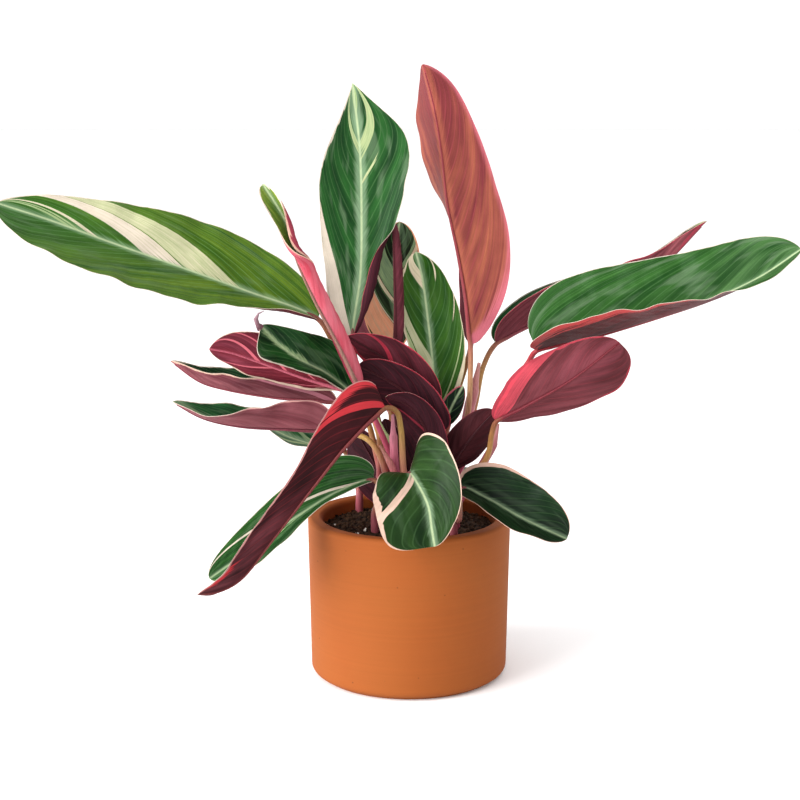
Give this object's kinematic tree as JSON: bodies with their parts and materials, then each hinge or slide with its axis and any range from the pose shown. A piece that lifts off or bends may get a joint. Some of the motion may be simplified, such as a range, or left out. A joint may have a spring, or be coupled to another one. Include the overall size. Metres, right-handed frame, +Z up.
{
  "type": "potted prayer plant",
  "caption": "Prayer plant with long green, cream and pink leaves, maroon underneath, growing from soil in a plain round terracotta pot.",
  "frame": {"origin": "centre of the pot's flat base", "axes": "+Z up along the pot's axis, the side that is mostly seen faces -Y, the two longest leaves reach out along -X and +X"},
  "size_m": [0.5574, 0.2627, 0.4472],
  "materials": {
    "terracotta": "matte, unglazed, faint turning lines",
    "soil": "coarse dark potting mix with white perlite",
    "leaf_green": "soft gloss, green with cream bands and pale feathering, maroon underneath",
    "leaf_maroon": "satin maroon underside outward, green upper side",
    "leaf_pink": "soft gloss, a new leaf still rolled up",
    "shoot": "satin, pink and pale green sheaths"
  },
  "bodies": {
    "root": {"pot": "terracotta", "soil": "soil", "leaf_left_long": "leaf_green", "leaf_right_long": "leaf_green", "leaf_right_hidden": "leaf_maroon", "leaf_right_low": "leaf_maroon", "leaf_top_middle": "leaf_green", "leaf_top_hidden": "leaf_green", "leaf_top_right": "leaf_maroon", "leaf_middle_right": "leaf_green", "leaf_left_spear": "leaf_pink", "leaf_top_spear": "leaf_maroon", "leaf_left_pink": "leaf_maroon", "leaf_left_green": "leaf_green", "leaf_left_dark": "leaf_maroon", "leaf_left_low": "leaf_maroon", "leaf_left_back": "leaf_green", "leaf_middle_high": "leaf_maroon", "leaf_middle_low": "leaf_maroon", "leaf_middle_curled": "leaf_maroon", "leaf_right_dark": "leaf_maroon", "leaf_heart_small": "leaf_green", "leaf_heart_dark": "leaf_maroon", "leaf_heart_shade": "leaf_maroon", "leaf_front_hanging": "leaf_maroon", "leaf_rim_left": "leaf_green", "leaf_rim_middle": "leaf_green", "leaf_rim_right": "leaf_green", "leaf_back_high_left": "leaf_green", "leaf_back_high_right": "leaf_green", "leaf_back_low_left": "leaf_green", "leaf_back_low_middle": "leaf_green", "leaf_back_low_right": "leaf_green", "shoot_front": "shoot", "shoot_pale": "shoot", "shoot_short": "shoot", "shoot_right_high": "shoot", "shoot_right_low": "shoot"}
  },
  "joints": []
}
